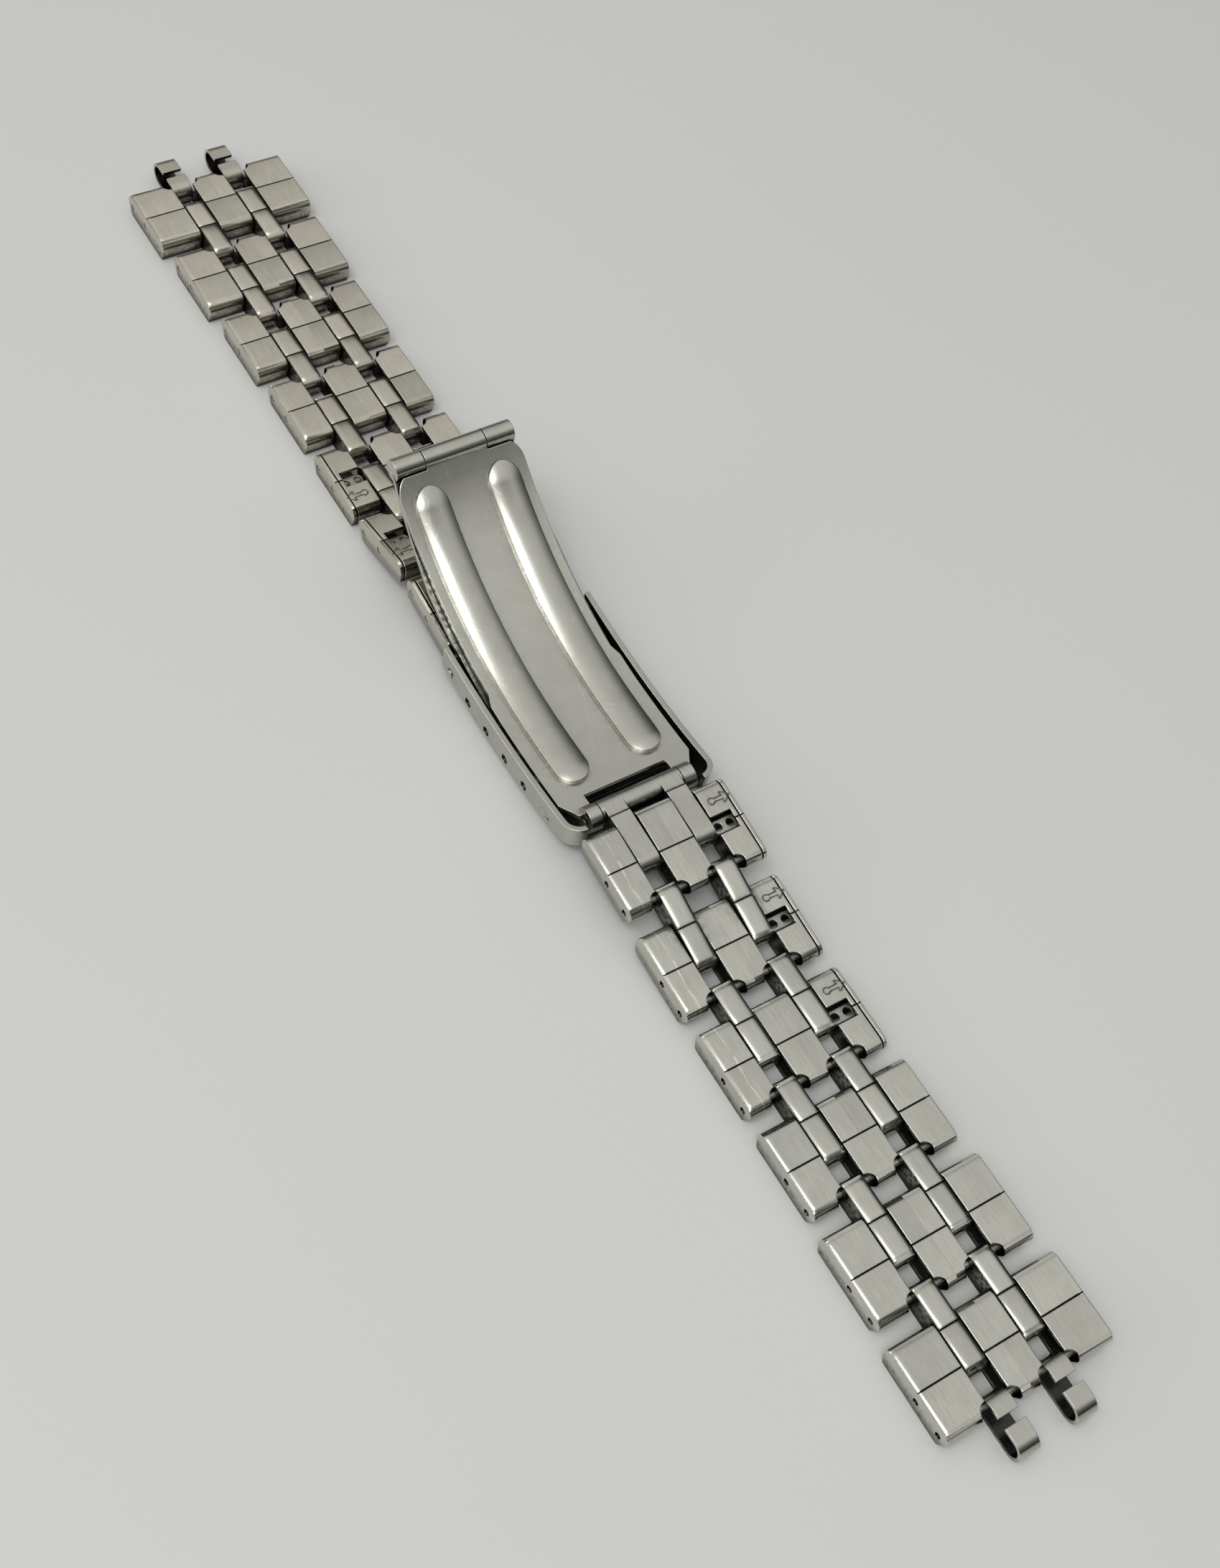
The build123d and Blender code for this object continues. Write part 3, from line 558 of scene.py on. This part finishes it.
def steel(name, own_place=True, satin=0.32, polish=0.17, line_depth=1.0, scratch=0.35, grime_and_shade=1.0,
          shade=1.0, edge=0.1, edge_wear_and_highlight=0.5, reach=1.8, flaps=False, two_tone=False, dark=None,
          swell=None, keep=None):
    """A steel material: satin on the faces that look up or down, smoother elsewhere."""
    material = bpy.data.materials.new(name)
    material.use_nodes = True
    tree = material.node_tree
    surface = tree.nodes["Principled BSDF"]
    surface.inputs["Metallic"].default_value = 1.0
    if own_place:
        place = stored(tree, "link_place", "Vector")
    else:
        place = put(tree, "ShaderNodeVectorMath", {"operation": "SCALE"}, {
            0: tree.nodes.new("ShaderNodeTexCoord").outputs["Object"], "Scale": 1 / MM}).outputs[0]
    seed = stored(tree, "link_seed")
    way = use_group(tree, looking, {})
    flat = way.outputs["Flat"]
    lines = use_group(tree, brushing, {"Place": place, "Seed": seed})
    marks = use_group(tree, scratching, {"Place": place, "Seed": seed})
    grime_and_shade_node = use_group(tree, grime_and_shade_group, {"Place": place, "Amount": grime_and_shade, "Reach mm": reach})
    soft = use_group(tree, rounding, {"Radius mm": edge})
    flap = use_group(tree, flapping, {"Place": place, "Seed": seed}) if flaps else None

    line = calc(tree, "SUBTRACT", lines.outputs["Lines"], 0.5)
    cloud = calc(tree, "SUBTRACT", lines.outputs["Clouds"], 0.5)
    tone = calc(tree, "MULTIPLY_ADD", line, line_tone * line_depth, shade)
    tone = calc(tree, "MULTIPLY_ADD", cloud, cloud_tone, tone)
    tone = calc(tree, "MULTIPLY_ADD", marks.outputs["Scratches"], scratch * scratch_tone, tone)
    # Edges are lightened in colour: edge wear, and a painted highlight where they catch the light.
    tone = calc(tree, "MULTIPLY_ADD", soft.outputs["Corner"], edge_wear_and_highlight, tone)
    if own_place:
        rubbed = use_group(tree, rubbing, {"Place": place, "Wear": stored(tree, "link_wear")})
        tone = calc(tree, "MULTIPLY_ADD", rubbed.outputs["Rubbed"], rubbed_tone, tone)
    if flaps:
        tone = calc(tree, "ADD", tone, flap.outputs["Tone"])
    cool = flap.outputs["Tint"] if two_tone else lines.outputs["Clouds"]
    colour = use_group(tree, colouring, {"Cool share": cool, "Aged": 1.0 if own_place else 0.0})
    toned = put(tree, "ShaderNodeVectorMath", {"operation": "SCALE"},
                {0: colour.outputs["Color"], "Scale": tone}).outputs[0]

    # The masks below darken the colour: painted shade in recesses, between columns and under ends,
    # with real grime and dark joints.
    shut = grime_and_shade_node.outputs["Grime and shade"]
    if flaps:
        dirt_and_shade = use_group(tree, dirt_and_shade_group, {"Place": place, "Sideways": way.outputs["Sideways"],
                                         "Upward": way.outputs["Upward"]})
        shut = calc(tree, "MAXIMUM", shut, dirt_and_shade.outputs["Dirt and shade"])
    if dark:
        shut = calc(tree, "MAXIMUM", shut, dark(tree, place, flat))
    if keep:
        shut = calc(tree, "MULTIPLY", shut, keep(tree))
    tree.links.new(blend_colour(tree, shut, toned, grime_and_shade_colour), surface.inputs["Base Color"])

    rough = calc(tree, "MULTIPLY_ADD", flat, satin - polish, polish)
    rough = calc(tree, "MULTIPLY_ADD", line, line_rough, rough)
    rough = calc(tree, "MULTIPLY_ADD", grime_and_shade_node.outputs["Grime and shade"], grime_rough, rough)
    tree.links.new(rough, surface.inputs["Roughness"])

    normal = soft.outputs["Normal"]
    if swell:
        normal = bump(tree, swell(tree, place, flat), MM, normal)
    if flaps:
        normal = bump(tree, calc(tree, "MULTIPLY", flap.outputs["Height"], flat), MM, normal)
    depth = calc(tree, "MULTIPLY_ADD", flat, (1 - steep_share) * line_depth,
                 steep_share * line_depth)
    height = calc(tree, "MULTIPLY", lines.outputs["Lines"], depth)
    height = calc(tree, "MULTIPLY_ADD", marks.outputs["Scratches"], -scratch, height)
    tree.links.new(bump(tree, height, brush_depth, normal, brush_share), surface.inputs["Normal"])
    return material


# %% The finishes of all pieces
link_steel = steel("link_steel", satin=0.24, polish=0.14, line_depth=1.4, scratch=0.2, edge=0.16,
                   flaps=True, two_tone=True, dark=rim_line, swell=rim_fall)
narrow_steel = steel("narrow_link_steel", satin=0.2, polish=0.14, scratch=0.2, edge=0.2,
                     flaps=True, swell=cushion)
hook_steel = steel("hook_steel", satin=0.26, line_depth=0.4, scratch=0.4, dark=inside_hook)
wire_steel = steel("drawn_wire", satin=0.3, polish=0.3, grime_and_shade=0.6, shade=1.1, keep=off_tips)
end_steel = steel("end_piece_steel", satin=0.26, scratch=0.5, dark=tongue_line)
bar_steel = steel("spring_bar_steel", own_place=False, satin=0.22)
plate_steel = steel("inner_plate_steel", own_place=False, satin=0.22, polish=0.18, line_depth=0.25,
                    scratch=0.7, grime_and_shade=0.3, swell=rib_dome)
blade_steel = steel("middle_blade_steel", own_place=False, satin=0.3, polish=0.18, edge_wear_and_highlight=0.8,
                    reach=3.0)
cover_steel = steel("clasp_cover_steel", own_place=False, satin=0.25, polish=0.13, line_depth=0.2,
                    scratch=0.4, grime_and_shade=0.35, shade=0.92, edge_wear_and_highlight=0.9)
pin_steel = steel("pin_steel", own_place=False, satin=0.25)
print("steels", len(bpy.data.materials))

# %% Each node takes its steel


def steel_for(name):
    """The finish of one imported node."""
    if "outers" in name or "centre" in name:
        return link_steel
    for word, finish in (("narrows", narrow_steel), ("hooks", hook_steel), ("clip", wire_steel),
                         ("end_piece", end_steel), ("spring_bar", bar_steel),
                         ("inner_plate", plate_steel), ("middle_blade", blade_steel),
                         ("clasp_cover", cover_steel), ("blade_pins", pin_steel)):
        if word in name:
            return finish
    raise KeyError(name)


for name, obj in nodes.items():
    for index in range(len(obj.material_slots)):
        obj.material_slots[index].material = steel_for(name)
print("dressed", len(nodes))

# %% [markdown]
# ## Stamped arrows
#
# The links that can be taken out carry a small arrow beside their window. It shows the way the clip
# is pushed out. The real one is a stamped outline, so here a fine bead follows the outline. The
# mark repeats on six rows, so a Geometry Nodes tree makes it, and each row gets it as a plain mesh.

# %% The arrow's outline, in millimetres, pointing along +Y
tail_radius, tail_middle = 0.34, -0.75
tail_start, tail_step, tail_points = 55, 48.3, 7


def arrow_outline():
    """A closed curve: a broad head, a waisted shaft and a round tail."""
    corners = [(0.0, 1.15), (0.56, 0.42), (0.5, 0.3), (0.2, 0.42), (0.16, -0.38)]
    tail = []
    for step in range(tail_points):
        turn = math.radians(tail_start - step * tail_step)
        tail.append((tail_radius * math.cos(turn), tail_middle + tail_radius * math.sin(turn)))
    left = [(-x, y) for x, y in reversed(corners[1:])]
    outline = corners + tail + left
    curve = bpy.data.curves.new("arrow_outline", "CURVE")
    curve.dimensions = "3D"
    spline = curve.splines.new("POLY")
    spline.points.add(len(outline) - 1)
    for point, (x, y) in zip(spline.points, outline):
        point.co = (x * MM, y * MM, 0, 1)
    spline.use_cyclic_u = True
    obj = bpy.data.objects.new("arrow_outline", curve)
    scene.collection.objects.link(obj)
    return obj


outline = arrow_outline()
print("outline points", len(outline.data.splines[0].points))

# %% The tree that lays a bead along the outline
mark_tree, enter, leave = new_group(
    "stamped_mark", "GeometryNodeTree",
    [("Geometry", "NodeSocketGeometry", None), ("Outline", "NodeSocketObject", None),
     ("Bead radius", "NodeSocketFloat", 0.05 * MM), ("Place", "NodeSocketVector", (0, 0, 0)),
     ("Turn", "NodeSocketVector", (0, 0, 0)), ("Material", "NodeSocketMaterial", None)],
    [("Geometry", "NodeSocketGeometry")])
source = put(mark_tree, "GeometryNodeObjectInfo", None, {"Object": enter.outputs["Outline"]})
ring = put(mark_tree, "GeometryNodeCurvePrimitiveCircle", None,
           {"Resolution": 6, "Radius": enter.outputs["Bead radius"]})
bead = put(mark_tree, "GeometryNodeCurveToMesh", None,
           {"Curve": source.outputs["Geometry"], "Profile Curve": ring.outputs[0]})
laid = put(mark_tree, "GeometryNodeTransform", None,
           {"Geometry": bead.outputs[0], "Translation": enter.outputs["Place"],
            "Rotation": enter.outputs["Turn"]})
real = put(mark_tree, "GeometryNodeRealizeInstances", None, {"Geometry": laid.outputs[0]})
dressed = put(mark_tree, "GeometryNodeSetMaterial", None,
              {"Geometry": real.outputs[0], "Material": enter.outputs["Material"]})
mark_tree.links.new(dressed.outputs[0], leave.inputs[0])

# %% One plain mesh for each marked row
arrow_along, arrow_across, arrow_above = 2.25, 5.85, 1.232
bead_radius = 0.075 * MM
mark_steel = steel("stamped_line", own_place=False, satin=0.4, polish=0.4, grime_and_shade=0.6, shade=0.3)


def evaluated_copy(name, host):
    """The plain mesh that a host's modifiers make, as a new object."""
    depsgraph = bpy.context.evaluated_depsgraph_get()
    mesh = bpy.data.meshes.new_from_object(host.evaluated_get(depsgraph))
    host.modifiers.clear()
    made = bpy.data.objects.new(name, mesh)
    scene.collection.objects.link(made)
    return made


def mark_row(half, number):
    """Lays the arrow on one row's window side."""
    body = f"{half}_row_{number}"
    seam, along, up = frames[body]
    outward = -1 if half == "upper" else 1
    place = seam + along * arrow_along * MM + up * arrow_above * MM
    place.y = outward * arrow_across * MM
    tilt = math.atan2(-along.z, along.x) if half == "upper" else math.atan2(along.z, -along.x)
    turn = Matrix.Rotation(tilt, 3, "Y") @ Matrix.Rotation(math.radians(90 - 90 * outward), 3, "Z")
    host = bpy.data.objects.new("mark_host", bpy.data.meshes.new("mark_host"))
    scene.collection.objects.link(host)
    modifier = host.modifiers.new("mark", "NODES")
    modifier.node_group = mark_tree
    set_inputs(modifier, {"Outline": outline, "Bead radius": bead_radius, "Place": tuple(place),
                          "Turn": tuple(turn.to_euler("XYZ")), "Material": mark_steel})
    made = evaluated_copy(f"{half}_arrow_{number}", host)
    bpy.data.objects.remove(host)
    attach(made, body)
    return made


marked = [("upper", number) for number in (5, 6, 7)] + [("lower", number) for number in (4, 5, 6)]
arrows = [mark_row(half, number) for half, number in marked]
bpy.data.objects.remove(outline)
print("arrows", [arrow.name for arrow in arrows])

# %% [markdown]
# ## The table
#
# The bracelet lies on a smooth pale table. A flat sheet just under the lowest point is enough. Its
# finish is slightly glossy, so that the steel has a faint reflection and a soft contact shadow.

# %% A pale table top
pale_grey, paler_grey = (0.565, 0.57, 0.56, 1), (0.59, 0.595, 0.585, 1)


def table_finish():
    """A pale, slightly glossy laminate."""
    material = bpy.data.materials.new("pale_table")
    material.use_nodes = True
    tree = material.node_tree
    surface = tree.nodes["Principled BSDF"]
    coordinates = tree.nodes.new("ShaderNodeTexCoord")
    noise = put(tree, "ShaderNodeTexNoise", None,
                {"Vector": coordinates.outputs["Object"], "Scale": 6.0, "Detail": 2.0})
    colour = blend_colour(tree, noise.outputs["Fac"], pale_grey, paler_grey)
    tree.links.new(colour, surface.inputs["Base Color"])
    surface.inputs["Roughness"].default_value = 0.32
    surface.inputs["Specular IOR Level"].default_value = 0.35
    return material


half_side, gap_below = 1.6, 0.02 * MM
top = cad_box[0].z - gap_below
mesh = bpy.data.meshes.new("table_top")
mesh.from_pydata([(-half_side, -half_side, top), (half_side, -half_side, top),
                  (half_side, half_side, top), (-half_side, half_side, top)], [], [(0, 1, 2, 3)])
table_top = bpy.data.objects.new("table_top", mesh)
scene.collection.objects.link(table_top)
table_top.data.materials.append(table_finish())
print("table at", round(top / MM, 3), "mm")

# %% [markdown]
# ## Light
#
# Steel shows what it mirrors. A pale sky that darkens to the horizon gives the flaps their even
# grey and the folds their dark bands. It is brightest above the near side, and dim beyond the lower
# end. One soft panel hangs on the near side for the ribs, and another stands low there for the
# bright edges.

# %% World and soft panels
bright_way = Vector((0.25, -0.45, 0.857))
brightest = 2.2
sky_levels = [(0.3, 0.20), (0.5, 0.48), (0.635, 0.66), (0.72, 0.70), (0.81, 0.75), (0.92, 0.86),
              (0.97, 1.4), (1.0, brightest)]
sky_tint = (1.0, 0.995, 0.98)
horizon_level, lower_end_share = 0.3, 0.3
panel_colour = (1.0, 0.99, 0.97)


def make_world():
    """A room that is bright above the near side, and dark at the far side and the horizon."""
    world = bpy.data.worlds.new("studio")
    scene.world = world
    world.use_nodes = True
    tree = world.node_tree
    direction = put(tree, "ShaderNodeTexCoord").outputs["Generated"]
    towards = put(tree, "ShaderNodeVectorMath", {"operation": "DOT_PRODUCT"},
                  {0: direction, 1: bright_way}).outputs["Value"]
    shades = put(tree, "ShaderNodeValToRGB", None,
                 {"Fac": calc(tree, "MULTIPLY_ADD", towards, 0.5, 0.5)})
    while len(shades.color_ramp.elements) < len(sky_levels):
        shades.color_ramp.elements.new(0.5)
    for element, (place, level) in zip(shades.color_ramp.elements, sky_levels):
        element.position = place
        share = level / brightest
        element.color = [share * part for part in sky_tint] + [1]
    x, z = split(tree, direction, "XZ")
    lit = calc(tree, "MULTIPLY", ramp(tree, z, 0.1, 0.65, horizon_level, brightest),
               ramp(tree, x, 0.4, 0.75, 1.0, lower_end_share))
    background = tree.nodes["Background"]
    tree.links.new(shades.outputs["Color"], background.inputs["Color"])
    tree.links.new(lit, background.inputs["Strength"])


def panel(name, place, width, length, power):
    """A soft panel that faces the bracelet."""
    light = bpy.data.lights.new(name, "AREA")
    light.shape = "RECTANGLE"
    light.size, light.size_y = width, length
    light.energy = power
    light.color = panel_colour
    obj = bpy.data.objects.new(name, light)
    obj.location = place
    obj.rotation_mode = "QUATERNION"
    obj.rotation_quaternion = (-Vector(place)).to_track_quat("-Z", "Y")
    scene.collection.objects.link(obj)


make_world()
panel("rib_panel", (0.10, -0.20, 0.50), 0.30, 0.12, 0.8)
panel("edge_panel", (-0.22, -0.54, 0.19), 0.42, 0.16, 0.6)
print("lights", len(bpy.data.lights))

# %% [markdown]
# ## Camera
#
# The photograph looks down on the wrist side from the near right. The camera keeps that angle and
# distance, and its place is counted from the clasp's hinge pin, which ties it to the model.

# %% The photograph's camera
hinge = joint_to["middle_blade"]
from_hinge = Vector((0.0738, -0.07382, 0.15504))
right = Vector((0.51661, 0.84278, 0.15115))
above = Vector((-0.75968, 0.36972, 0.53497))
back = Vector((0.39497, -0.3912, 0.83124))
camera_data = bpy.data.cameras.new("camera")
camera_data.sensor_width = 36.0
camera_data.lens = 47.247
camera_data.clip_start, camera_data.clip_end = 0.01, 10.0
camera = bpy.data.objects.new("camera", camera_data)
camera.matrix_world = Matrix.Translation(hinge + from_hinge) @ Matrix(
    (right, above, back)).transposed().to_4x4()
scene.collection.objects.link(camera)
scene.camera = camera
scene.view_settings.view_transform = "Standard"
print("camera at", tuple(round(value, 4) for value in camera.location))
